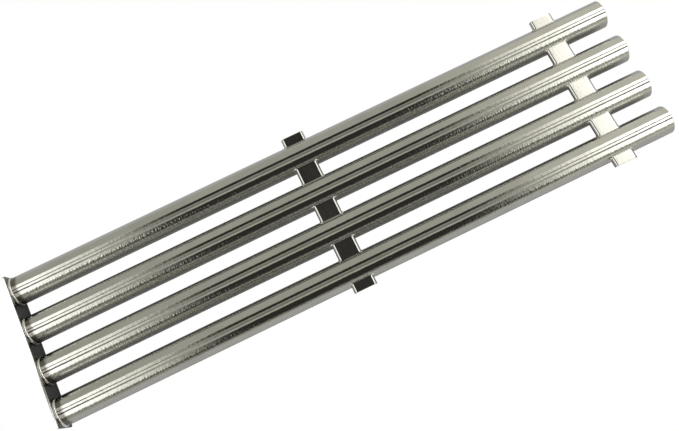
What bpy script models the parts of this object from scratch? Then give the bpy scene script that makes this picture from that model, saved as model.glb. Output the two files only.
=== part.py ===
"""Gas burner assembly: four parallel burner tubes welded to one inlet plate.

The tubes lie side by side along +X, with their crests up.  At the inlet end each tube is seated
in a collar on the plate, over a round inlet hole.  At the far end a pressed cap closes each tube.
Two rows of short channel pieces, one near the middle and one near the far end, bridge the gaps
between the tubes, and the outermost piece of each row stands out past the tubes as a support tab.
The burner ports are slots in the underside of the tubes.

Units are metres, +Z is up, and the origin is the centre of the assembly's base.
"""

import math

import bmesh
import bpy

# ---------------------------------------------------------------- driving dimensions
TUBE_COUNT = 4
TUBE_RADIUS = 0.0127          # one inch outside diameter
TUBE_WALL = 0.0010
TUBE_LENGTH = 0.5750
TUBE_PITCH = 0.0375           # axis to axis
TUBE_SIDES = 40               # facets round a tube; a corner lies exactly at the bottom

CLEARANCE = 0.0003            # gap kept between neighbouring pieces

PLATE_THICKNESS = 0.0015
PLATE_MARGIN = 0.0009         # plate beyond the tubes, above, below and at both sides
PLATE_CORNER = 0.0020
INLET_RADIUS = 0.0095
INLET_SIDES = 32

COLLAR_DEPTH = 0.0022         # along the tube
COLLAR_STEP = 0.0006          # straight part of the collar before it rounds in to the tube
COLLAR_ROUND_STEPS = 3

CAP_DEPTH = 0.0060
CAP_THICKNESS = 0.0010
CAP_RECESS = 0.0004           # cap face behind the tube's end
CAP_SIDES = 32

CHANNEL_WIDTH = 0.0210
CHANNEL_DEPTH = 0.0032
CHANNEL_THICKNESS = 0.0012
CHANNEL_SHOULDER = 0.0026     # outer radius of the turned-down edges
CHANNEL_ARC_STEPS = 4
CHANNEL_RISE = 0.0071         # top of the channels above the tubes' axes
MID_ROW_X = 0.2763            # centre of the middle row, from the plate's inner face
END_ROW_SETBACK = 0.0517      # centre of the end row, back from the tubes' far ends
TAB_REACH = 0.0066            # tabs past the outermost tubes

SLOT_LENGTH = 0.0100
SLOT_WIDTH = 0.0014
SLOT_PITCH = 0.0300
SLOT_MARGIN = 0.0300          # first slot's centre, from the plate's inner face
SLOT_FACETS = 2.5             # how many facets each row stands from the bottom line

# ---------------------------------------------------------------- derived places
BORE_RADIUS = TUBE_RADIUS - TUBE_WALL
PLATE_HALF_HEIGHT = TUBE_RADIUS + PLATE_MARGIN
PLATE_HALF_WIDTH = (TUBE_COUNT - 1) * TUBE_PITCH / 2 + TUBE_RADIUS + PLATE_MARGIN
OVERALL_LENGTH = PLATE_THICKNESS + CLEARANCE + TUBE_LENGTH
PLATE_OUTER_X = -OVERALL_LENGTH / 2
PLATE_INNER_X = PLATE_OUTER_X + PLATE_THICKNESS
TUBE_START_X = PLATE_INNER_X + CLEARANCE
TUBE_END_X = TUBE_START_X + TUBE_LENGTH
AXIS_Z = PLATE_HALF_HEIGHT
CHANNEL_TOP_Z = AXIS_Z + CHANNEL_RISE
FACET_ANGLE = 2 * math.pi / TUBE_SIDES
# the clearance round a tube is measured from its corners, and a cutter's own flats lie inside
# its corners, so its radius is raised by that much
COPE_RADIUS = (TUBE_RADIUS + CLEARANCE) / math.cos(FACET_ANGLE / 2)


def tube_y(index):
    """Y of a tube's axis; tube 1 is the one at +Y."""
    return ((TUBE_COUNT - 1) / 2 - index) * TUBE_PITCH


# ---------------------------------------------------------------- scene helpers
def clear_scene():
    for item in list(bpy.data.objects):
        bpy.data.objects.remove(item, do_unlink=True)


def new_collection(name):
    collection = bpy.data.collections.new(name)
    bpy.context.scene.collection.children.link(collection)
    return collection


def metal(name, colour, roughness):
    material = bpy.data.materials.new(name)
    material.use_nodes = True
    shader = material.node_tree.nodes["Principled BSDF"]
    shader.inputs["Base Color"].default_value = (*colour, 1.0)
    shader.inputs["Metallic"].default_value = 1.0
    shader.inputs["Roughness"].default_value = roughness
    return material


def place(item, collection, location=(0, 0, 0), rotation=(0, 0, 0), parent=None):
    item.location = location
    item.rotation_euler = rotation
    item.parent = parent
    collection.objects.link(item)
    return item


def shade(mesh, angle=math.radians(30)):
    mesh.shade_smooth()
    mesh.set_sharp_from_angle(angle=angle)


def hide_cutter(item):
    item.hide_render = True
    item.display_type = "WIRE"
    return item


def cut(item, cutter, name):
    modifier = item.modifiers.new(name, "BOOLEAN")
    modifier.operation = "DIFFERENCE"
    modifier.solver = "EXACT"
    modifier.object = cutter


def turned_mesh(name, profile, closed=True):
    """Mesh of a profile of (radius, height) points that a Screw modifier turns about Z."""
    mesh = bpy.data.meshes.new(name)
    edges = [(i, i + 1) for i in range(len(profile) - 1)]
    if closed:
        edges.append((len(profile) - 1, 0))
    mesh.from_pydata([(radius, 0, height) for radius, height in profile], edges, [])
    return mesh


def turn(item, sides):
    modifier = item.modifiers.new("turn", "SCREW")
    modifier.axis = "Z"
    modifier.steps = sides
    modifier.render_steps = sides
    modifier.use_merge_vertices = True
    modifier.merge_threshold = 0.00001
    modifier.use_smooth_shade = True


ALONG_X = (0, math.radians(90), 0)     # turns a local Z axis to +X


# ---------------------------------------------------------------- tubes
def slot_cutter(collection, name, row_sign, y):
    """One row of slots below a tube, as an array of boxes."""
    count = int((TUBE_LENGTH - 2 * SLOT_MARGIN) // SLOT_PITCH) + 1
    mesh = bpy.data.meshes.new(name)
    shape = bmesh.new()
    bmesh.ops.create_cube(shape, size=1.0)
    bmesh.ops.scale(shape, vec=(SLOT_LENGTH, SLOT_WIDTH, 4 * TUBE_WALL), verts=shape.verts)
    bmesh.ops.translate(shape, vec=(0, 0, TUBE_WALL / 2 - TUBE_RADIUS), verts=shape.verts)
    shape.to_mesh(mesh)
    shape.free()
    cutter = bpy.data.objects.new(name, mesh)
    place(
        cutter,
        collection,
        (TUBE_START_X + SLOT_MARGIN, y, AXIS_Z),
        (row_sign * SLOT_FACETS * FACET_ANGLE, 0, 0),
    )
    row = cutter.modifiers.new("row", "ARRAY")
    row.count = count
    row.use_relative_offset = False
    row.use_constant_offset = True
    row.constant_offset_displace = (SLOT_PITCH, 0, 0)
    return hide_cutter(cutter)


def build_tubes(parts, cutters, material, root):
    profile = [
        (TUBE_RADIUS, TUBE_LENGTH),
        (TUBE_RADIUS, 0),
        (BORE_RADIUS, 0),
        (BORE_RADIUS, TUBE_LENGTH),
    ]
    mesh = turned_mesh("burner_tube", profile)
    mesh.materials.append(material)
    for index in range(TUBE_COUNT):
        y = tube_y(index)
        tube = bpy.data.objects.new(f"burner_tube_{index + 1}", mesh)
        place(tube, parts, (TUBE_START_X, y, AXIS_Z), ALONG_X, root)
        turn(tube, TUBE_SIDES)
        for side, row_sign in (("a", 1), ("b", -1)):
            cutter = slot_cutter(cutters, f"slots_{index + 1}{side}", row_sign, y)
            cut(tube, cutter, f"slots_{side}")


def build_collars(parts, material, root):
    """Round rings that seat the tubes on the plate."""
    inner = TUBE_RADIUS + CLEARANCE
    outer = TUBE_RADIUS + PLATE_MARGIN
    rise = COLLAR_DEPTH - COLLAR_STEP
    profile = []
    for step in range(COLLAR_ROUND_STEPS + 1):
        angle = math.radians(90) * (1 - step / COLLAR_ROUND_STEPS)
        radius = inner + (outer - inner) * math.cos(angle)
        profile.append((radius, COLLAR_STEP + rise * math.sin(angle)))
    profile += [(outer, 0), (inner, 0)]
    mesh = turned_mesh("tube_collar", profile)
    mesh.materials.append(material)
    for index in range(TUBE_COUNT):
        collar = bpy.data.objects.new(f"tube_collar_{index + 1}", mesh)
        place(collar, parts, (PLATE_INNER_X + CLEARANCE, tube_y(index), AXIS_Z), ALONG_X, root)
        turn(collar, TUBE_SIDES)


def build_caps(parts, material, root):
    """Pressed cups inside the far ends of the tubes, rims facing in."""
    outer = BORE_RADIUS * math.cos(FACET_ANGLE / 2) - CLEARANCE
    inner = outer - CAP_THICKNESS
    profile = [
        (0, CAP_DEPTH),
        (outer, CAP_DEPTH),
        (outer, 0),
        (inner, 0),
        (inner, CAP_DEPTH - CAP_THICKNESS),
        (0, CAP_DEPTH - CAP_THICKNESS),
    ]
    mesh = turned_mesh("end_cap", profile, closed=False)
    mesh.materials.append(material)
    x = TUBE_END_X - CAP_RECESS - CAP_DEPTH
    for index in range(TUBE_COUNT):
        cap = bpy.data.objects.new(f"end_cap_{index + 1}", mesh)
        place(cap, parts, (x, tube_y(index), AXIS_Z), ALONG_X, root)
        turn(cap, CAP_SIDES)


# ---------------------------------------------------------------- inlet plate
def add_outline(curve, points):
    spline = curve.splines.new("POLY")
    spline.points.add(len(points) - 1)
    for point, (x, y) in zip(spline.points, points):
        point.co = (x, y, 0, 1)
    spline.use_cyclic_u = True


def rounded_rectangle(half_width, half_height, radius, steps=4):
    points = []
    corners = ((1, 1, 0), (-1, 1, 90), (-1, -1, 180), (1, -1, 270))
    for sign_x, sign_y, start in corners:
        for step in range(steps + 1):
            angle = math.radians(start + 90 * step / steps)
            x = sign_x * (half_width - radius) + radius * math.cos(angle)
            y = sign_y * (half_height - radius) + radius * math.sin(angle)
            points.append((x, y))
    return points


def circle(centre_x, radius, sides):
    angles = [2 * math.pi * step / sides for step in range(sides)]
    return [(centre_x + radius * math.cos(a), radius * math.sin(a)) for a in angles]


def build_plate(parts, material, root):
    """Flat plate with one inlet hole behind each tube, drawn as a filled outline."""
    curve = bpy.data.curves.new("inlet_plate", "CURVE")
    curve.dimensions = "2D"
    curve.fill_mode = "BOTH"
    curve.extrude = PLATE_THICKNESS / 2
    add_outline(curve, rounded_rectangle(PLATE_HALF_WIDTH, PLATE_HALF_HEIGHT, PLATE_CORNER))
    for index in range(TUBE_COUNT):
        add_outline(curve, circle(tube_y(index), INLET_RADIUS, INLET_SIDES))
    curve.materials.append(material)
    plate = bpy.data.objects.new("inlet_plate", curve)
    x = PLATE_OUTER_X + PLATE_THICKNESS / 2
    place(plate, parts, (x, 0, AXIS_Z), (math.radians(90), 0, math.radians(90)), root)


# ---------------------------------------------------------------- channel pieces
def channel_section():
    """Outer line of the channel's cross-section, as (across, height) from its top centre."""
    half = CHANNEL_WIDTH / 2
    radius = CHANNEL_SHOULDER
    left = [(-half, -CHANNEL_DEPTH)]
    for step in range(CHANNEL_ARC_STEPS + 1):
        angle = math.radians(90 * step / CHANNEL_ARC_STEPS)
        left.append((radius - half - radius * math.cos(angle), radius * math.sin(angle) - radius))
    right = [(-across, height) for across, height in reversed(left)]
    return left + right


def channel_mesh(name, length, material):
    """Straight piece of channel along Y, centred on its length, as a solid mesh."""
    curve = bpy.data.curves.new(name, "CURVE")
    curve.dimensions = "2D"
    curve.fill_mode = "NONE"
    curve.extrude = length / 2
    section = channel_section()
    spline = curve.splines.new("POLY")
    spline.points.add(len(section) - 1)
    for point, (across, height) in zip(spline.points, section):
        point.co = (across, height, 0, 1)
    ribbon = bpy.data.objects.new(name + "_ribbon", curve)
    ribbon.rotation_euler = (math.radians(90), 0, 0)
    bpy.context.scene.collection.objects.link(ribbon)
    wall = ribbon.modifiers.new("wall", "SOLIDIFY")
    wall.thickness = CHANNEL_THICKNESS
    wall.offset = -1.0
    wall.use_even_offset = True
    bpy.context.view_layer.update()
    evaluated = ribbon.evaluated_get(bpy.context.evaluated_depsgraph_get())
    mesh = bpy.data.meshes.new_from_object(evaluated)
    mesh.transform(ribbon.matrix_world)
    bpy.data.objects.remove(ribbon, do_unlink=True)
    shape = bmesh.new()
    shape.from_mesh(mesh)
    bmesh.ops.remove_doubles(shape, verts=shape.verts, dist=0.00001)
    bmesh.ops.recalc_face_normals(shape, faces=shape.faces)
    shape.to_mesh(mesh)
    shape.free()
    mesh.name = name
    mesh.materials.clear()
    mesh.materials.append(material)
    shade(mesh)
    return mesh


def tube_cutter(collection, index):
    """Cylinder round one tube, which copes the channel pieces that meet it."""
    mesh = bpy.data.meshes.new(f"cope_{index + 1}")
    shape = bmesh.new()
    bmesh.ops.create_cone(
        shape,
        cap_ends=True,
        segments=TUBE_SIDES,
        radius1=COPE_RADIUS,
        radius2=COPE_RADIUS,
        depth=TUBE_LENGTH,
    )
    shape.to_mesh(mesh)
    shape.free()
    cutter = bpy.data.objects.new(f"cope_{index + 1}", mesh)
    x = TUBE_START_X + TUBE_LENGTH / 2
    return hide_cutter(place(cutter, collection, (x, tube_y(index), AXIS_Z), ALONG_X))


def build_channels(parts, cutters, material, root):
    copes = [tube_cutter(cutters, index) for index in range(TUBE_COUNT)]
    tab_length = TUBE_RADIUS + TAB_REACH
    bridge = channel_mesh("channel_bridge", TUBE_PITCH, material)
    tab = channel_mesh("channel_tab", tab_length, material)
    tab_y = tube_y(0) + tab_length / 2
    rows = (("mid", PLATE_INNER_X + MID_ROW_X), ("end", TUBE_END_X - END_ROW_SETBACK))
    for row, x in rows:
        for index in range(TUBE_COUNT - 1):
            name = f"{row}_bridge_{index + 1}_{index + 2}"
            piece = bpy.data.objects.new(name, bridge)
            y = (tube_y(index) + tube_y(index + 1)) / 2
            place(piece, parts, (x, y, CHANNEL_TOP_Z), parent=root)
            cut(piece, copes[index], "cope_a")
            cut(piece, copes[index + 1], "cope_b")
        for side, sign, cope in (("left", 1, copes[0]), ("right", -1, copes[-1])):
            piece = bpy.data.objects.new(f"{row}_tab_{side}", tab)
            place(piece, parts, (x, sign * tab_y, CHANNEL_TOP_Z), parent=root)
            cut(piece, cope, "cope")


# ---------------------------------------------------------------- assembly
def main():
    clear_scene()
    parts = new_collection("burner_assembly")
    cutters = new_collection("cutters")
    root = bpy.data.objects.new("burner_assembly_root", None)
    parts.objects.link(root)
    tube_steel = metal("tube_steel", (0.62, 0.61, 0.58), 0.22)
    channel_steel = metal("channel_steel", (0.60, 0.59, 0.56), 0.28)
    plate_steel = metal("plate_steel", (0.58, 0.57, 0.54), 0.30)
    weld_steel = metal("weld_steel", (0.66, 0.65, 0.62), 0.34)
    build_plate(parts, plate_steel, root)
    build_tubes(parts, cutters, tube_steel, root)
    build_collars(parts, weld_steel, root)
    build_caps(parts, tube_steel, root)
    build_channels(parts, cutters, channel_steel, root)


main()
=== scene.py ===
"""Looks of the gas burner assembly: finished meshes, steel materials, studio light and camera.

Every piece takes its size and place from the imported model's nodes.  Units are metres, +X runs
along the tubes from the inlet plate to the closed ends, +Y points to tube 1, and +Z is up.
"""

import math

import bmesh
import bpy
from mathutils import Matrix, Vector


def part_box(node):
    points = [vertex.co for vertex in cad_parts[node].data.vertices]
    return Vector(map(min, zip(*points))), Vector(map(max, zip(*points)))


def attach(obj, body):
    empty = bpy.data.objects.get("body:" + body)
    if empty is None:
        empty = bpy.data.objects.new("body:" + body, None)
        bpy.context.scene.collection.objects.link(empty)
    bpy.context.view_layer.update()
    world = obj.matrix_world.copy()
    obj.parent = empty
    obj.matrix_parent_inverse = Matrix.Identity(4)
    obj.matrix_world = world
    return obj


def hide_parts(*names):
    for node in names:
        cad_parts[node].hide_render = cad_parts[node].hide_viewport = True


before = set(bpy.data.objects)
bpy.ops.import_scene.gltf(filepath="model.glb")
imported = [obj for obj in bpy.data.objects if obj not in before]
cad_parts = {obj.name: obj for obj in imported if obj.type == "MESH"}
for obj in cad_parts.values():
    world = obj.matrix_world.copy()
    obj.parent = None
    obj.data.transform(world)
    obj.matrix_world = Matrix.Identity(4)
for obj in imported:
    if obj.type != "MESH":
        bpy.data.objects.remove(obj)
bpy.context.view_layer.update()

MM = 0.001

# ---------------------------------------------------------------- sizes read from the frame
TUBE_COUNT = 4
TUBE_BOXES = [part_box(f"burner_tube_{i + 1}") for i in range(TUBE_COUNT)]
TUBE_Y = [(low.y + high.y) / 2 for low, high in TUBE_BOXES]
AXIS_Z = (TUBE_BOXES[0][0].z + TUBE_BOXES[0][1].z) / 2
TUBE_RADIUS = (TUBE_BOXES[0][1].z - TUBE_BOXES[0][0].z) / 2
TUBE_START = TUBE_BOXES[0][0].x
TUBE_END = TUBE_BOXES[0][1].x
PLATE_LOW, PLATE_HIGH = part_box("inlet_plate")
COLLAR_LOW, COLLAR_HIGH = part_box("tube_collar_1")
CAP_LOW, CAP_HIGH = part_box("end_cap_1")
TAB_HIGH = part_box("mid_tab_left")[1]
ROW_X = {row: sum(corner.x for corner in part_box(f"{row}_tab_left")) / 2 for row in ("mid", "end")}
CHANNEL_HALF = (TAB_HIGH.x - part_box("mid_tab_left")[0].x) / 2
CHANNEL_DEPTH = TAB_HIGH.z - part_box("mid_tab_left")[0].z
CHANNEL_TOP = TAB_HIGH.z
TAB_REACH_Y = TAB_HIGH.y

# ---------------------------------------------------------------- sizes of the fine shapes
TUBE_WALL = 1.0 * MM
TUBE_SIDES = 128
TUBE_LIP = 0.6 * MM               # rounding of the tubes' far rims
LIP_STEPS = 5
BORE_LIP = 0.3 * MM
BORE_LIP_STEPS = 3
SLOT_COUNT = 18
SLOT_LENGTH = 10.0 * MM
SLOT_WIDTH = 1.4 * MM
SLOT_PITCH = 30.0 * MM
SLOT_MARGIN = 30.0 * MM
SLOT_ANGLE = math.radians(22.5)   # each row, from the bottom line
SLOT_END_STEPS = 8

PLATE_CORNER = 2.0 * MM
PLATE_BEVEL = 0.26 * MM
PLATE_CORNER_STEPS = 8
INLET_RADIUS = 9.5 * MM
INLET_SIDES = 96

WELD_STEPS = 10
WELD_SIDES = 192
WELD_RIPPLES = 44
WELD_RIPPLE = 0.16 * MM

CAP_SIDES = 96
CAP_WALL = 1.0 * MM
CAP_ROUND = 0.9 * MM
CAP_DISH = 0.5 * MM
CAP_DISH_STEPS = 6
CAP_ROUND_STEPS = 5

SHEET_THICKNESS = 1.2 * MM
SHOULDER = 2.6 * MM               # outer radius of the channels' folds
SHOULDER_STEPS = 10
FLARE = 1.5 * MM                  # fillet where a channel's edge runs into a tube
FLARE_ROWS = 9
MIDDLE_ROWS = 8
SHEET_SINK = 0.15 * MM            # how far a channel's end reaches into the tube's skin
EDGE_BEVEL = 0.18 * MM
LEAN = {"bridge_3_4": 2.2, "tab_right": 4.0}  # degrees that welding has pulled a piece up
BEAD_RADIUS = 0.42 * MM
BEAD_SIDES = 8
BEAD_SPACING = 0.5 * MM
BEAD_RIPPLE = 0.12                # share of its radius
BEAD_RIPPLE_TURN = 1.9            # radians of ripple from one ring to the next
BEAD_TAPER = 3                    # rings over which its ends taper

# ---------------------------------------------------------------- camera
CAMERA_PLACE = (-0.0289, -0.1552, 0.6441)
CAMERA_TURN = (13.197, -2.255, -25.673)
CAMERA_LENS = 39.5

# ---------------------------------------------------------------- light
# radiances, and ranges of direction: across is the angle from the zenith towards +Y in degrees,
# along is the X part of the direction
BASE_LIGHT = 0.50
ROOM_COLOUR = (1.0, 0.99, 0.87, 1.0)
BRIGHT_END = 1.5                  # how much brighter the room is towards +X
BRIGHT_FROM = (0.15, 0.40)        # where it brightens, as the X part of the direction
GAP_LIGHT = 0.035                 # the dark gap between the panels
GAP_ACROSS = (-75.0, 29.5)
GAP_SOFTNESS = (15.0, 1.5)        # half widths of its two edges, in degrees
LEFT_PANEL = (2.6, 0.146, 0.470)  # radiance, and where it fades in along -X
RIGHT_PANEL = (3.6, 0.194, 0.584)  # the same along +X
PANEL_ACROSS = (-52.0, 32.0)
PANEL_SOFTNESS = (8.0, 1.5)
PANEL_FALL = (0.50, 0.66)         # where both panels grow weaker, as the size of the X part
PANEL_FAR = 0.35                  # what share of their radiance is left beyond that
PANEL_END = (0.82, 0.92)          # where both panels end, in the same way
BAR_A = (0.42, 2.5, 9.5)          # radiance, and from where to where across
BAR_B = (0.56, -24.5, -13.0)
BAR_SOFTNESS = (1.0, 1.0)
BETWEEN_BARS = (0.26, -13.0, 2.5)
BETWEEN_SOFTNESS = (0.5, 0.5)
BAR_ENDS = 0.06                   # both bars' radiance over the ends of the burner
# painted glow of the floor, which only rays other than the camera's see
FLOOR_GLOW = 0.50
CONTACT_POWER = 1.6               # how steeply the painted contact shade darkens the floor close to the tubes
FLOOR_ALBEDO = 0.08
CONTACT_SHADE = 18.0 * MM         # how far round the tubes the painted contact shade reaches


# ---------------------------------------------------------------- node helpers
class Nodes:
    """Small helper that adds nodes to one tree and links them."""

    def __init__(self, tree):
        self.tree = tree
        self.tree.nodes.clear()

    def add(self, kind, settings=None, **inputs):
        node = self.tree.nodes.new(kind)
        for name, value in (settings or {}).items():
            setattr(node, name, value)
        for name, value in inputs.items():
            self.set(node.inputs[name.replace("_", " ")], value)
        return node

    def set(self, socket, value):
        if isinstance(value, bpy.types.NodeSocket):
            self.tree.links.new(value, socket)
        else:
            socket.default_value = value

    def math(self, operation, *values, clamp=False):
        node = self.tree.nodes.new("ShaderNodeMath")
        node.operation = operation
        node.use_clamp = clamp
        for socket, value in zip(node.inputs, values):
            self.set(socket, value)
        return node.outputs[0]

    def step(self, value, low, high, to_low=0.0, to_high=1.0):
        """Smooth step of a value between low and high."""
        node = self.tree.nodes.new("ShaderNodeMapRange")
        node.interpolation_type = "SMOOTHSTEP"
        for name, item in (
            ("Value", value),
            ("From Min", low),
            ("From Max", high),
            ("To Min", to_low),
            ("To Max", to_high),
        ):
            self.set(node.inputs[name], item)
        return node.outputs[0]

    def blend(self, factor, a, b):
        """Number between a and b."""
        node = self.tree.nodes.new("ShaderNodeMix")
        node.data_type = "FLOAT"
        self.set(node.inputs[0], factor)
        self.set(node.inputs[2], a)
        self.set(node.inputs[3], b)
        return node.outputs[0]

    def blend_colour(self, factor, a, b):
        node = self.tree.nodes.new("ShaderNodeMix")
        node.data_type = "RGBA"
        self.set(node.inputs[0], factor)
        self.set(node.inputs[6], a)
        self.set(node.inputs[7], b)
        return node.outputs[2]

    def for_camera(self, lighting, seen):
        """Shader that the camera sees as one thing and every other ray as another."""
        mix = self.add("ShaderNodeMixShader")
        self.set(mix.inputs[0], self.add("ShaderNodeLightPath").outputs["Is Camera Ray"])
        self.set(mix.inputs[1], lighting)
        self.set(mix.inputs[2], seen)
        return mix.outputs[0]

    def noise(self, place, scale, detail=2.0, stretch=None):
        """Noise from 0 to 1, optionally stretched by a scale for each axis."""
        if stretch:
            mapping = self.add("ShaderNodeMapping", Vector=place, Scale=stretch)
            place = mapping.outputs[0]
        node = self.add("ShaderNodeTexNoise", Vector=place, Scale=scale, Detail=detail)
        return node.outputs["Fac"]


def grey(value):
    return (value, value, value, 1.0)


# ---------------------------------------------------------------- studio
def build_camera():
    data = bpy.data.cameras.new("camera")
    data.lens = CAMERA_LENS
    data.sensor_width = 36.0
    data.sensor_fit = "HORIZONTAL"
    camera = bpy.data.objects.new("camera", data)
    camera.location = CAMERA_PLACE
    camera.rotation_mode = "ZYX"
    camera.rotation_euler = [math.radians(angle) for angle in CAMERA_TURN]
    bpy.context.scene.collection.objects.link(camera)
    bpy.context.scene.camera = camera


def angle_band(nodes, angle, low, high, soft_low, soft_high):
    """1 between two angles in degrees, with a soft fall at each side."""
    rise = nodes.step(angle, low - soft_low, low + soft_low)
    fall = nodes.step(angle, high - soft_high, high + soft_high, 1.0, 0.0)
    return nodes.math("MULTIPLY", rise, fall)


def build_world():
    """Two soft panels over the ends of the burner, a dark gap between them, and two bars that
    run along it, grey over its middle and dark over its ends, in a grey room.  The camera
    itself sees plain white."""
    world = bpy.data.worlds.new("studio")
    bpy.context.scene.world = world
    world.use_nodes = True
    nodes = Nodes(world.node_tree)
    direction = nodes.add("ShaderNodeTexCoord").outputs["Generated"]
    axes = nodes.add("ShaderNodeSeparateXYZ", Vector=direction).outputs
    across = nodes.math("DEGREES", nodes.math("ARCTAN2", axes[1], axes[2]))
    left_light, left_from, left_to = LEFT_PANEL
    right_light, right_from, right_to = RIGHT_PANEL
    left = nodes.step(nodes.math("MULTIPLY", axes[0], -1.0), left_from, left_to)
    right = nodes.step(axes[0], right_from, right_to)
    past = nodes.step(nodes.math("ABSOLUTE", axes[0]), *PANEL_END, 1.0, 0.0)
    ends = nodes.math("MULTIPLY", nodes.math("ADD", left, right), past)
    panel_light = nodes.blend(nodes.step(axes[0], -0.05, 0.05), left_light, right_light)
    low_down = nodes.step(nodes.math("ABSOLUTE", axes[0]), *PANEL_FALL, 1.0, PANEL_FAR)
    panel_light = nodes.math("MULTIPLY", panel_light, low_down)
    light = nodes.step(axes[0], *BRIGHT_FROM, BASE_LIGHT, BRIGHT_END * BASE_LIGHT)
    gap = angle_band(nodes, across, *GAP_ACROSS, *GAP_SOFTNESS)
    gap = nodes.math("MULTIPLY", gap, nodes.math("SUBTRACT", 1.0, ends))
    light = nodes.blend(gap, light, GAP_LIGHT)
    between = angle_band(nodes, across, *BETWEEN_BARS[1:], *BETWEEN_SOFTNESS)
    light = nodes.blend(between, light, BETWEEN_BARS[0])
    panel = angle_band(nodes, across, *PANEL_ACROSS, *PANEL_SOFTNESS)
    panel = nodes.math("MULTIPLY", panel, ends)
    light = nodes.blend(panel, light, panel_light)
    colour = nodes.blend_colour(panel, ROOM_COLOUR, grey(1.0))
    for radiance, low, high in (BAR_A, BAR_B):
        bar_light = nodes.blend(ends, radiance, BAR_ENDS)
        bar = angle_band(nodes, across, low, high, *BAR_SOFTNESS)
        light = nodes.blend(bar, light, bar_light)
    room = nodes.add("ShaderNodeBackground", Color=colour, Strength=light)
    white = nodes.add("ShaderNodeBackground", Color=grey(1.0), Strength=1.0)
    output = nodes.add("ShaderNodeOutputWorld")
    nodes.set(output.inputs["Surface"], nodes.for_camera(room.outputs[0], white.outputs[0]))


def build_floor():
    """Pale floor: white to the camera; to the steel above it, a faint grey plus a painted glow
    that painted contact shade darkens near the tubes; and clear from below, so that the
    underside of the burner can be looked at."""
    material = bpy.data.materials.new("floor_white")
    material.use_nodes = True
    nodes = Nodes(material.node_tree)
    # painted contact shade: the floor's painted glow darkens near the tubes
    contact = nodes.add("ShaderNodeAmbientOcclusion", {"samples": 4}, Distance=CONTACT_SHADE)
    open_share = nodes.math("POWER", contact.outputs["AO"], CONTACT_POWER)
    glow = nodes.math("MULTIPLY", open_share, FLOOR_GLOW)
    paint = nodes.add("ShaderNodeBsdfDiffuse", Color=grey(FLOOR_ALBEDO))
    painted_glow = nodes.add("ShaderNodeEmission", Color=grey(1.0), Strength=glow)
    both = nodes.add("ShaderNodeAddShader")
    nodes.set(both.inputs[0], paint.outputs[0])
    nodes.set(both.inputs[1], painted_glow.outputs[0])
    white = nodes.add("ShaderNodeEmission", Color=grey(1.0), Strength=1.0)
    top = nodes.for_camera(both.outputs[0], white.outputs[0])
    sides = nodes.add("ShaderNodeMixShader")
    nodes.set(sides.inputs[0], nodes.add("ShaderNodeNewGeometry").outputs["Backfacing"])
    nodes.set(sides.inputs[1], top)
    nodes.set(sides.inputs[2], nodes.add("ShaderNodeBsdfTransparent").outputs[0])
    output = nodes.add("ShaderNodeOutputMaterial")
    nodes.set(output.inputs["Surface"], sides.outputs[0])
    mesh = bpy.data.meshes.new("floor")
    shape = bmesh.new()
    bmesh.ops.create_grid(shape, x_segments=1, y_segments=1, size=4.0)
    shape.to_mesh(mesh)
    shape.free()
    mesh.materials.append(material)
    floor = bpy.data.objects.new("floor", mesh)
    floor.location = (0, 0, -0.5 * MM)
    bpy.context.scene.collection.objects.link(floor)


# ---------------------------------------------------------------- materials
WAVE_SCALE = 330.0                # noise scales, in features per metre
BROAD_SCALE = 45.0
PIT_SCALE = 260.0
PIT_CHOICE_SCALE = 90.0           # only some of the pits are kept
PIT_DEPTH = 0.05 * MM
BROAD_GLOSS = 0.10                # how much each pattern changes the roughness
STREAK_GLOSS = 0.06
PIT_GLOSS = 0.25
DULL_SHARE = 0.82                 # brightness of the duller patches
PIT_AND_SHADE_COLOUR = (0.10, 0.095, 0.08, 1.0)  # colour in the pits, and of the painted shade beside the collars
SCUFFED_FLANK = (-0.62, -0.38)    # where the scuffs fade out, as the Y part of the normal
SCUFF_SCALE = (620.0, 400.0, 400.0)
DULL_FROM = (-0.88, -0.76)        # where that flank turns duller, in the same way
DULL_TO = (-0.995, -0.965)        # and where it is glossy again
SQUARE_FACE = (0.85, 0.97)        # where a face counts as square for the painted shade, as the size of the X part
ROOT_SHADE_FROM = COLLAR_HIGH.x + 1.5 * MM  # where the painted shade beside the collars fades out
ROOT_SHADE_TO = COLLAR_HIGH.x + 5.0 * MM
ROOT_SHADE_RAGGED = 3.0 * MM            # how far its edge wanders


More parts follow.
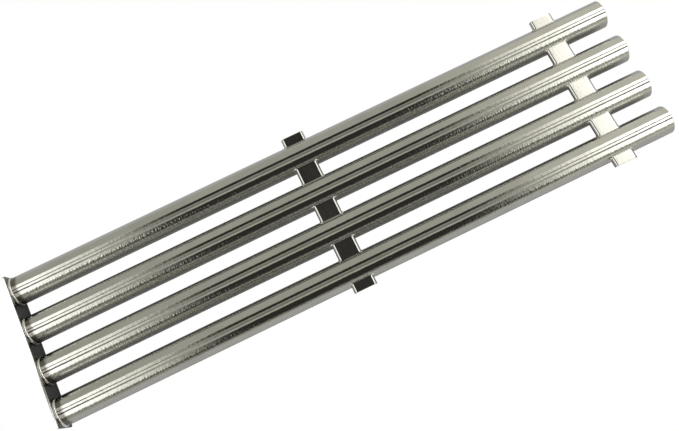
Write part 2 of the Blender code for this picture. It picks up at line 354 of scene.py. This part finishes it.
def steel(
    name, colour, roughness, streaks, peel, lengthwise,
    grain=0.0, dull_flank=0.0, face=1.0, painted_root_shade=0.0,
):
    """Bright steel: drawn or rolled streaks, a faint orange peel, mottled gloss and small pits.

    streaks and peel are the heights of the two bumps in metres; lengthwise is the axis that
    the streaks follow, as a scale for each axis.  grain is the height of a coarser, scuffed
    texture and dull_flank the extra roughness on the flank that faces -Y.  face is the share
    of its brightness that a face square to X keeps, as painted shade, and painted_root_shade how
    strongly painted shade darkens the metal beside the collars."""
    material = bpy.data.materials.new(name)
    material.use_nodes = True
    nodes = Nodes(material.node_tree)
    coordinates = nodes.add("ShaderNodeTexCoord").outputs
    place = coordinates["Object"]
    facing = nodes.add("ShaderNodeSeparateXYZ", Vector=coordinates["Normal"]).outputs
    streak = nodes.noise(place, 1.0, 3.0, lengthwise)
    waves = nodes.noise(place, WAVE_SCALE, 3.0)
    broad = nodes.noise(place, BROAD_SCALE, 4.0)
    pits = nodes.add("ShaderNodeTexVoronoi", Vector=place, Scale=PIT_SCALE).outputs["Distance"]
    pit = nodes.step(pits, 0.05, 0.13, 1.0, 0.0)
    chosen = nodes.step(nodes.noise(place, PIT_CHOICE_SCALE, 1.0), 0.60, 0.68)
    pit = nodes.math("MULTIPLY", pit, chosen)
    gloss = nodes.math("MULTIPLY_ADD", broad, BROAD_GLOSS, roughness - BROAD_GLOSS / 2)
    gloss = nodes.math("SUBTRACT", gloss, STREAK_GLOSS / 2)
    gloss = nodes.math("MULTIPLY_ADD", streak, STREAK_GLOSS, gloss)
    gloss = nodes.math("MULTIPLY_ADD", pit, PIT_GLOSS, gloss)
    if dull_flank:
        flank = nodes.step(facing[1], *DULL_FROM, 1.0, 0.0)
        flank = nodes.math("MULTIPLY", flank, nodes.step(facing[1], *DULL_TO))
        gloss = nodes.math("MULTIPLY_ADD", flank, dull_flank, gloss)
    dull = tuple(DULL_SHARE * part for part in colour)
    shade = nodes.step(broad, 0.35, 0.70)
    tint = nodes.blend_colour(nodes.math("MULTIPLY", shade, 0.45), (*colour, 1.0), (*dull, 1.0))
    tint = nodes.blend_colour(nodes.math("MULTIPLY", pit, 0.6), tint, PIT_AND_SHADE_COLOUR)
    # painted shade: faces square to X get a darker copy of the colour, while rounded edges keep the
    # full colour
    if face < 1.0:
        square = nodes.step(nodes.math("ABSOLUTE", facing[0]), *SQUARE_FACE)
        shaded_face_colour = tuple(face * part for part in colour)
        tint = nodes.blend_colour(square, tint, (*shaded_face_colour, 1.0))
    # painted shade: a ragged dark band on the tubes just beside the collars, next to the plate
    if painted_root_shade:
        along_x = nodes.add("ShaderNodeSeparateXYZ", Vector=place).outputs[0]
        ragged = nodes.math("MULTIPLY_ADD", waves, -ROOT_SHADE_RAGGED, along_x)
        root_shade_mask = nodes.step(ragged, ROOT_SHADE_FROM, ROOT_SHADE_TO, painted_root_shade, 0.0)
        tint = nodes.blend_colour(root_shade_mask, tint, PIT_AND_SHADE_COLOUR)
    bump = nodes.add("ShaderNodeBump", Strength=1.0, Distance=peel, Height=waves)
    if grain:
        scuffed = nodes.step(facing[1], *SCUFFED_FLANK, 1.0, 0.0)
        scuffs = nodes.math("MULTIPLY", nodes.noise(place, 1.0, 2.0, SCUFF_SCALE), scuffed)
        bump = nodes.add(
            "ShaderNodeBump", Strength=1.0, Distance=grain, Height=scuffs, Normal=bump.outputs[0]
        )
    bump = nodes.add(
        "ShaderNodeBump", Strength=1.0, Distance=streaks, Height=streak, Normal=bump.outputs[0]
    )
    bump = nodes.add(
        "ShaderNodeBump",
        {"invert": True},
        Strength=0.6,
        Distance=PIT_DEPTH,
        Height=pit,
        Normal=bump.outputs[0],
    )
    shader = nodes.add(
        "ShaderNodeBsdfPrincipled",
        Base_Color=tint,
        Roughness=gloss,
        Normal=bump.outputs[0],
    )
    shader.inputs["Metallic"].default_value = 1.0
    output = nodes.add("ShaderNodeOutputMaterial")
    nodes.set(output.inputs["Surface"], shader.outputs[0])
    return material


def build_materials():
    along = (18.0, 1300.0, 1300.0)
    across = (900.0, 25.0, 900.0)
    return {
        "tube": steel(
            "tube_steel", (0.60, 0.595, 0.56), 0.065, 0.005 * MM, 0.042 * MM, along,
            grain=0.16 * MM, dull_flank=0.38, painted_root_shade=0.85,
        ),
        "channel": steel("channel_steel", (0.56, 0.55, 0.52), 0.12, 0.005 * MM, 0.028 * MM, across),
        # the plate's broad faces are darkened by painted shade, through face
        "plate": steel(
            "plate_steel", (0.70, 0.695, 0.66), 0.12, 0.008 * MM, 0.03 * MM, across,
            face=0.40,
        ),
        "cap": steel("cap_steel", (0.58, 0.575, 0.54), 0.20, 0.008 * MM, 0.04 * MM, across),
        "weld": steel("weld_steel", (0.80, 0.79, 0.75), 0.20, 0.0, 0.10 * MM, along),
    }


# ---------------------------------------------------------------- mesh helpers
def new_piece(shape, name, material, slot, *replaced, sharp=35.0):
    """Object from a bmesh in row-frame coordinates, riding on the welded body."""
    bmesh.ops.recalc_face_normals(shape, faces=shape.faces)
    mesh = bpy.data.meshes.new(name)
    shape.to_mesh(mesh)
    shape.free()
    mesh.materials.append(material)
    mesh.shade_smooth()
    mesh.set_sharp_from_angle(angle=math.radians(sharp))
    piece = bpy.data.objects.new(name, mesh)
    bpy.context.scene.collection.objects.link(piece)
    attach(piece, "root")
    if replaced:
        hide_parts(*replaced)
    return piece


def apply_modifiers(piece, sharp=35.0):
    """Bakes a piece's modifiers into its mesh."""
    bpy.context.view_layer.update()
    evaluated = piece.evaluated_get(bpy.context.evaluated_depsgraph_get())
    mesh = bpy.data.meshes.new_from_object(evaluated)
    mesh.name = piece.name
    piece.modifiers.clear()
    piece.data = mesh
    mesh.shade_smooth()
    mesh.set_sharp_from_angle(angle=math.radians(sharp))


def bevel(piece, width, segments=2, angle=40.0):
    modifier = piece.modifiers.new("edges", "BEVEL")
    modifier.width = width
    modifier.segments = segments
    modifier.limit_method = "ANGLE"
    modifier.angle_limit = math.radians(angle)
    modifier.use_clamp_overlap = True
    weights = piece.modifiers.new("flat_faces", "WEIGHTED_NORMAL")
    weights.keep_sharp = True


def turned(profile, y, sides, closed=True):
    """Bmesh of a profile of (x, radius) points turned about a tube's axis."""
    shape = bmesh.new()
    ring = [shape.verts.new((x, y, AXIS_Z + radius)) for x, radius in profile]
    edges = [shape.edges.new(pair) for pair in zip(ring, ring[1:])]
    if closed:
        edges.append(shape.edges.new((ring[-1], ring[0])))
    bmesh.ops.spin(
        shape,
        geom=ring + edges,
        cent=(0, y, AXIS_Z),
        axis=(1, 0, 0),
        angle=2 * math.pi,
        steps=sides,
        use_merge=True,
    )
    bmesh.ops.remove_doubles(shape, verts=shape.verts, dist=0.001 * MM)
    return shape


def quarter(x, radius, size, start, steps):
    """Quarter turn of a profile, from an angle in degrees, as (x, radius) points."""
    angles = [math.radians(start + 90 * step / steps) for step in range(steps + 1)]
    return [(x + size * math.cos(a), radius + size * math.sin(a)) for a in angles]


# ---------------------------------------------------------------- tubes
def slot_outline():
    """Stadium outline of one port slot, as (x, across) points."""
    half = SLOT_WIDTH / 2
    run = SLOT_LENGTH / 2 - half
    points = []
    for centre, start in ((run, -90), (-run, 90)):
        for step in range(SLOT_END_STEPS + 1):
            angle = math.radians(start + 180 * step / SLOT_END_STEPS)
            points.append((centre + half * math.cos(angle), half * math.sin(angle)))
    return points


def slot_cutter(y):
    """Two rows of slot-shaped prisms through the underside of one tube."""
    shape = bmesh.new()
    inner = TUBE_RADIUS - 2 * TUBE_WALL
    outer = TUBE_RADIUS + TUBE_WALL
    for sign in (1, -1):
        angle = sign * SLOT_ANGLE
        down = Vector((0, math.sin(angle), -math.cos(angle)))
        side = Vector((0, math.cos(angle), math.sin(angle)))
        for index in range(SLOT_COUNT):
            centre = Vector((TUBE_START + SLOT_MARGIN + index * SLOT_PITCH, y, AXIS_Z))
            rings = []
            for reach in (inner, outer):
                middle = centre + down * reach
                ring = [middle + Vector((x, 0, 0)) + side * s for x, s in slot_outline()]
                rings.append([shape.verts.new(point) for point in ring])
            shape.faces.new(rings[0])
            shape.faces.new(reversed(rings[1]))
            for a, b in zip(range(len(rings[0])), list(range(1, len(rings[0]))) + [0]):
                shape.faces.new((rings[0][b], rings[0][a], rings[1][a], rings[1][b]))
    bmesh.ops.recalc_face_normals(shape, faces=shape.faces)
    mesh = bpy.data.meshes.new("slot_cutter")
    shape.to_mesh(mesh)
    shape.free()
    cutter = bpy.data.objects.new("slot_cutter", mesh)
    bpy.context.scene.collection.objects.link(cutter)
    return cutter


def build_tubes(material):
    bore = TUBE_RADIUS - TUBE_WALL
    lip = TUBE_END - TUBE_LIP
    profile = [(TUBE_START, bore), (TUBE_START, TUBE_RADIUS)]
    profile += [(lip - TUBE_LIP, TUBE_RADIUS), (lip - TUBE_LIP / 2, TUBE_RADIUS)]
    profile += quarter(lip, TUBE_RADIUS - TUBE_LIP, TUBE_LIP, 0, LIP_STEPS)[::-1]
    profile += quarter(
        TUBE_END - BORE_LIP, bore + BORE_LIP, BORE_LIP, -90, BORE_LIP_STEPS
    )[::-1]
    profile += [(lip - TUBE_LIP / 2, bore), (lip - TUBE_LIP, bore)]
    for index, y in enumerate(TUBE_Y):
        name = f"burner_tube_{index + 1}"
        shape = turned(profile, y, TUBE_SIDES)
        tube = new_piece(shape, name + "_drawn", material, "tube_steel", name)
        cutter = slot_cutter(y)
        modifier = tube.modifiers.new("slots", "BOOLEAN")
        modifier.operation = "DIFFERENCE"
        modifier.solver = "EXACT"
        modifier.object = cutter
        apply_modifiers(tube)
        bpy.data.objects.remove(cutter, do_unlink=True)


# ---------------------------------------------------------------- collars and caps
def build_collars(material):
    """Weld bead rings round the tubes' bases, with an even ripple."""
    outer = (COLLAR_HIGH.z - COLLAR_LOW.z) / 2
    inner = TUBE_RADIUS - SHEET_SINK
    reach = COLLAR_HIGH.x - COLLAR_LOW.x
    profile = []
    for step in range(WELD_STEPS + 1):
        angle = math.radians(90 * step / WELD_STEPS)
        radius = inner + (outer - inner) * math.sin(angle)
        profile.append((COLLAR_LOW.x + reach * math.cos(angle), radius))
    profile.append((COLLAR_LOW.x, inner))
    for index, y in enumerate(TUBE_Y):
        name = f"tube_collar_{index + 1}"
        shape = turned(profile, y, WELD_SIDES)
        for vertex in shape.verts:
            out = vertex.co - Vector((vertex.co.x, y, AXIS_Z))
            angle = math.atan2(out.z, out.y)
            rise = (vertex.co.x - COLLAR_LOW.x) / reach
            ripple = 0.5 - 0.5 * math.sin(WELD_RIPPLES * angle + 2.0 * math.sin(3 * angle + index))
            vertex.co.x -= WELD_RIPPLE * rise * ripple
            if out.length > inner + SHEET_SINK:
                vertex.co -= out.normalized() * WELD_RIPPLE * 0.5 * ripple
        new_piece(shape, name + "_bead", material, "weld_steel", name)


def build_caps(material):
    """Pressed cups with a rounded rim and a shallow dish, open towards the inlet."""
    outer = (CAP_HIGH.z - CAP_LOW.z) / 2
    face = CAP_HIGH.x
    flat = outer - CAP_ROUND
    profile = [(face - CAP_DISH, 0.0)]
    for step in range(1, CAP_DISH_STEPS + 1):
        share = step / CAP_DISH_STEPS
        profile.append((face - CAP_DISH * (0.5 + 0.5 * math.cos(math.pi * share)), flat * share))
    profile += quarter(face - CAP_ROUND, flat, CAP_ROUND, 0, CAP_ROUND_STEPS)[1:]
    profile += [(CAP_LOW.x, outer), (CAP_LOW.x, outer - CAP_WALL)]
    profile += [(face - CAP_ROUND - CAP_WALL, outer - CAP_WALL)]
    profile += [(face - CAP_DISH - CAP_WALL, flat - CAP_WALL), (face - CAP_DISH - CAP_WALL, 0.0)]
    for index, y in enumerate(TUBE_Y):
        name = f"end_cap_{index + 1}"
        shape = turned(profile, y, CAP_SIDES, closed=False)
        new_piece(shape, name + "_pressed", material, "cap_steel", name)


# ---------------------------------------------------------------- inlet plate
def add_outline(curve, points):
    spline = curve.splines.new("POLY")
    spline.points.add(len(points) - 1)
    for point, (x, y) in zip(spline.points, points):
        point.co = (x, y, 0, 1)
    spline.use_cyclic_u = True


def arc(x, y, radius, start, sweep, steps):
    angles = [math.radians(start + sweep * step / steps) for step in range(steps + 1)]
    return [(x + radius * math.cos(a), y + radius * math.sin(a)) for a in angles]


def build_plate(material):
    """Punched plate with rolled edges, from a filled outline."""
    curve = bpy.data.curves.new("inlet_plate_punched", "CURVE")
    curve.dimensions = "2D"
    curve.fill_mode = "BOTH"
    thickness = PLATE_HIGH.x - PLATE_LOW.x
    curve.extrude = thickness / 2
    half_width = PLATE_HIGH.y - PLATE_CORNER
    half_height = (PLATE_HIGH.z - PLATE_LOW.z) / 2 - PLATE_CORNER
    outline = []
    for sign_x, sign_y, start in ((1, 1, 0), (-1, 1, 90), (-1, -1, 180), (1, -1, 270)):
        x = sign_x * half_width
        y = sign_y * half_height
        outline += arc(x, y, PLATE_CORNER, start, 90, PLATE_CORNER_STEPS)
    add_outline(curve, outline)
    for y in TUBE_Y:
        add_outline(curve, arc(y, 0, INLET_RADIUS, 0, 360, INLET_SIDES)[:-1])
    flat = bpy.data.objects.new("inlet_plate_curve", curve)
    flat.location = ((PLATE_LOW.x + PLATE_HIGH.x) / 2, 0, AXIS_Z)
    flat.rotation_euler = (math.radians(90), 0, math.radians(90))
    bpy.context.scene.collection.objects.link(flat)
    bpy.context.view_layer.update()
    evaluated = flat.evaluated_get(bpy.context.evaluated_depsgraph_get())
    mesh = bpy.data.meshes.new_from_object(evaluated)
    mesh.transform(flat.matrix_world)
    bpy.data.objects.remove(flat, do_unlink=True)
    shape = bmesh.new()
    shape.from_mesh(mesh)
    bpy.data.meshes.remove(mesh)
    bmesh.ops.remove_doubles(shape, verts=shape.verts, dist=0.001 * MM)
    bmesh.ops.dissolve_limit(
        shape, angle_limit=math.radians(1), verts=shape.verts, edges=shape.edges
    )
    plate = new_piece(shape, "inlet_plate_punched", material, "plate_steel", "inlet_plate")
    bevel(plate, PLATE_BEVEL, segments=3)
    apply_modifiers(plate, sharp=50.0)


# ---------------------------------------------------------------- channel pieces
def channel_section():
    """Outer line of the channel's section, as (across, drop below the top) points."""
    points = [(-CHANNEL_HALF, CHANNEL_DEPTH)]
    for step in range(SHOULDER_STEPS + 1):
        angle = math.radians(90 * step / SHOULDER_STEPS)
        across = -CHANNEL_HALF + SHOULDER * (1 - math.cos(angle))
        points.append((across, SHOULDER * (1 - math.sin(angle))))
    flat = CHANNEL_HALF - SHOULDER
    points += [(flat * share, 0.0) for share in (-0.6, -0.2)]
    return points + [(-across, drop) for across, drop in reversed(points)]


def tube_side(tube_y, side, drop):
    """Y where a channel at that depth runs into a tube's skin, on its +Y or -Y side."""
    height = CHANNEL_TOP - drop - AXIS_Z
    return tube_y + side * (math.sqrt(TUBE_RADIUS**2 - height**2) - SHEET_SINK)


def flare(distance):
    """How much wider the channel is at that distance from a tube's skin."""
    if distance >= FLARE:
        return 0.0
    return FLARE - math.sqrt(FLARE**2 - (FLARE - distance) ** 2)


def channel_rows(length, welded_start, welded_end):
    """Distances along a channel, from its start: close together near its welded ends."""
    near = [FLARE * (1 - math.cos(math.pi / 2 * row / FLARE_ROWS)) for row in range(FLARE_ROWS)]
    start = near if welded_start else [0.0]
    end = [length - distance for distance in reversed(near)] if welded_end else [length]
    first = FLARE if welded_start else length / MIDDLE_ROWS
    last = length - FLARE if welded_end else length - length / MIDDLE_ROWS
    middle = [first + (last - first) * row / MIDDLE_ROWS for row in range(MIDDLE_ROWS + 1)]
    return start + middle + end


def channel_shape(x, start_of, end_of, welded_start, welded_end):
    """Open sheet of a channel piece; start_of and end_of give its ends' Y for each depth."""
    shape = bmesh.new()
    columns = []
    for across, drop in channel_section():
        start = start_of(drop)
        end = end_of(drop)
        length = abs(end - start)
        direction = 1 if end > start else -1
        column = []
        for distance in channel_rows(length, welded_start, welded_end):
            wide = flare(distance) if welded_start else 0.0
            if welded_end:
                wide = max(wide, flare(length - distance))
            place = (
                x + across * (1 + wide / CHANNEL_HALF),
                start + direction * distance,
                CHANNEL_TOP - drop,
            )
            column.append(shape.verts.new(place))
        columns.append(column)
    for left, right in zip(columns, columns[1:]):
        for row in range(len(left) - 1):
            shape.faces.new((left[row], right[row], right[row + 1], left[row + 1]))
    return shape


def bead_shape(x, side_of, seed):
    """Fine rippled weld bead along the line where a channel meets a tube."""
    shape = bmesh.new()
    wide = 1 + FLARE / CHANNEL_HALF
    path = []
    for across, drop in channel_section():
        path.append(Vector((x + across * wide, side_of(drop), CHANNEL_TOP - drop)))
    fine = []
    for a, b in zip(path, path[1:]):
        steps = max(1, round((b - a).length / BEAD_SPACING))
        fine += [a.lerp(b, step / steps) for step in range(steps)]
    fine.append(path[-1])
    rings = []
    for index, point in enumerate(fine):
        before = fine[max(index - 1, 0)]
        after = fine[min(index + 1, len(fine) - 1)]
        along = (after - before).normalized()
        up = Vector((0, 1, 0)).cross(along).normalized()
        side = along.cross(up)
        taper = min(1.0, (index + 1) / BEAD_TAPER, (len(fine) - index) / BEAD_TAPER)
        ripple = 1 + BEAD_RIPPLE * math.sin(BEAD_RIPPLE_TURN * index + seed)
        radius = BEAD_RADIUS * taper * ripple
        angles = [2 * math.pi * step / BEAD_SIDES for step in range(BEAD_SIDES)]
        ring = [point + radius * (up * math.cos(a) + side * math.sin(a)) for a in angles]
        rings.append([shape.verts.new(place) for place in ring])
    for low, high in zip(rings, rings[1:]):
        for step in range(BEAD_SIDES):
            after = (step + 1) % BEAD_SIDES
            shape.faces.new((low[step], low[after], high[after], high[step]))
    shape.faces.new(rings[0])
    shape.faces.new(reversed(rings[-1]))
    return shape


def lean_outward(shape, name):
    """Tips a piece about its end nearest tube 1, which lifts its other end slightly."""
    for ending, angle in LEAN.items():
        if name.endswith(ending):
            pivot = max(vertex.co.y for vertex in shape.verts)
            for vertex in shape.verts:
                vertex.co.z += math.tan(math.radians(angle)) * (pivot - vertex.co.y)


def finish_channel(shape, name, material):
    lean_outward(shape, name)
    piece = new_piece(shape, name + "_folded", material, "channel_steel", name)
    mesh = piece.data
    if mesh.polygons[len(mesh.polygons) // 2].normal.z < 0:
        mesh.flip_normals()
    wall = piece.modifiers.new("wall", "SOLIDIFY")
    wall.thickness = SHEET_THICKNESS
    wall.offset = -1.0
    wall.use_even_offset = True
    bevel(piece, EDGE_BEVEL, angle=50.0)
    apply_modifiers(piece, sharp=50.0)


def build_channels(material, bead_material):
    for row, x in ROW_X.items():
        for index in range(TUBE_COUNT - 1):
            name = f"{row}_bridge_{index + 1}_{index + 2}"
            near = lambda drop, y=TUBE_Y[index]: tube_side(y, -1, drop)
            far = lambda drop, y=TUBE_Y[index + 1]: tube_side(y, 1, drop)
            finish_channel(channel_shape(x, near, far, True, True), name, material)
            for label, side_of in (("a", near), ("b", far)):
                shape = bead_shape(x, side_of, index + x)
                new_piece(shape, f"{name}_weld_{label}", bead_material, "weld_steel", sharp=60.0)
        for side, sign, y in (("left", 1, TUBE_Y[0]), ("right", -1, TUBE_Y[-1])):
            name = f"{row}_tab_{side}"
            near = lambda drop, y=y, sign=sign: tube_side(y, sign, drop)
            far = lambda drop, sign=sign: sign * TAB_REACH_Y
            finish_channel(channel_shape(x, near, far, True, False), name, material)
            shape = bead_shape(x, near, sign + x)
            new_piece(shape, f"{name}_weld", bead_material, "weld_steel", sharp=60.0)


# ---------------------------------------------------------------- scene
def main():
    bpy.context.scene.view_settings.view_transform = "Standard"
    build_camera()
    build_world()
    build_floor()
    materials = build_materials()
    build_tubes(materials["tube"])
    build_collars(materials["weld"])
    build_caps(materials["cap"])
    build_plate(materials["plate"])
    build_channels(materials["channel"], materials["weld"])


main()
